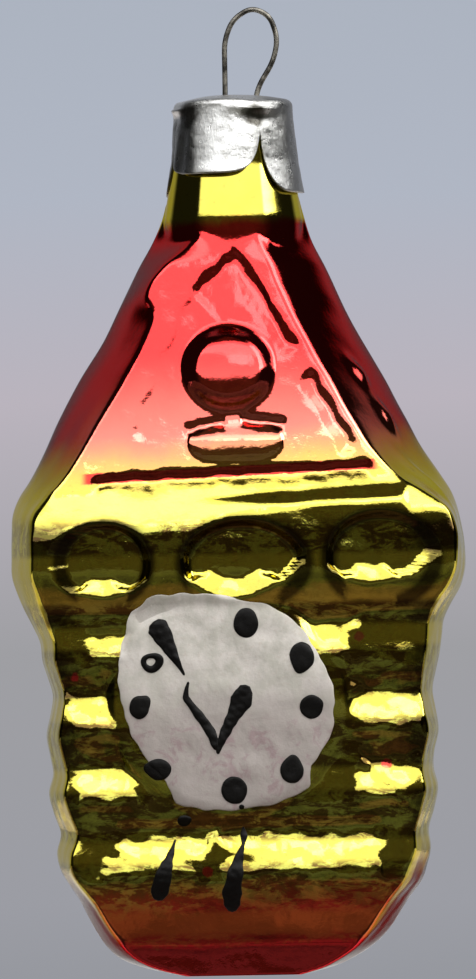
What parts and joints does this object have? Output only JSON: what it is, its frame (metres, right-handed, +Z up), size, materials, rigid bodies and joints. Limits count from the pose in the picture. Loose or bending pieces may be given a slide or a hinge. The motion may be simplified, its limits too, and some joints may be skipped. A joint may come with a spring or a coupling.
{
  "type": "glass christmas ornament",
  "caption": "Hollow blown-glass tree ornament shaped like a gabled cuckoo-clock log house, with brushed enamel dial and weights, pressed metal cap and bent wire hanger.",
  "frame": {"origin": "the point inside the top of the wire loop where a hook or twig bears", "axes": "+Z up along the loop's pull, the clock face towards -Y, +X to the viewer's right"},
  "size_m": [0.0569, 0.0376, 0.1207],
  "materials": {
    "lacquered_glass": "silvered inside, transparent gold lacquer outside that turns red on the gable and under the base, mirror gloss",
    "cap_aluminium": "pressed sheet, bright, lightly scratched",
    "hanger_steel": "drawn wire, dull",
    "white_enamel": "brushed enamel, matte",
    "black_enamel": "brushed enamel, glossy"
  },
  "bodies": {
    "hanger": {"hanger": "hanger_steel"},
    "cap": {"cap": "cap_aluminium"},
    "glass": {"glass_body": "lacquered_glass", "dial_enamel": "white_enamel", "hour_mark_1": "black_enamel", "hour_mark_2": "black_enamel", "hour_mark_3": "black_enamel", "hour_mark_4": "black_enamel", "hour_mark_5": "black_enamel", "hour_mark_6": "black_enamel", "hour_mark_7": "black_enamel", "hour_mark_8": "black_enamel", "minute_hand_tip": "black_enamel", "minute_hand_root": "black_enamel", "hour_hand": "black_enamel", "left_weight": "black_enamel", "right_weight": "black_enamel", "enamel_speck_1": "black_enamel", "enamel_speck_2": "black_enamel"}
  },
  "joints": [
    {"name": "cap_slide", "type": "slide", "parent": "hanger", "child": "cap", "axis": [0, 0, 1], "range_m": [0, 0.001]},
    {"name": "glass_pull", "type": "slide", "parent": "hanger", "child": "glass", "axis": [0, 0, -1], "range_m": [0, 0.017]}
  ]
}
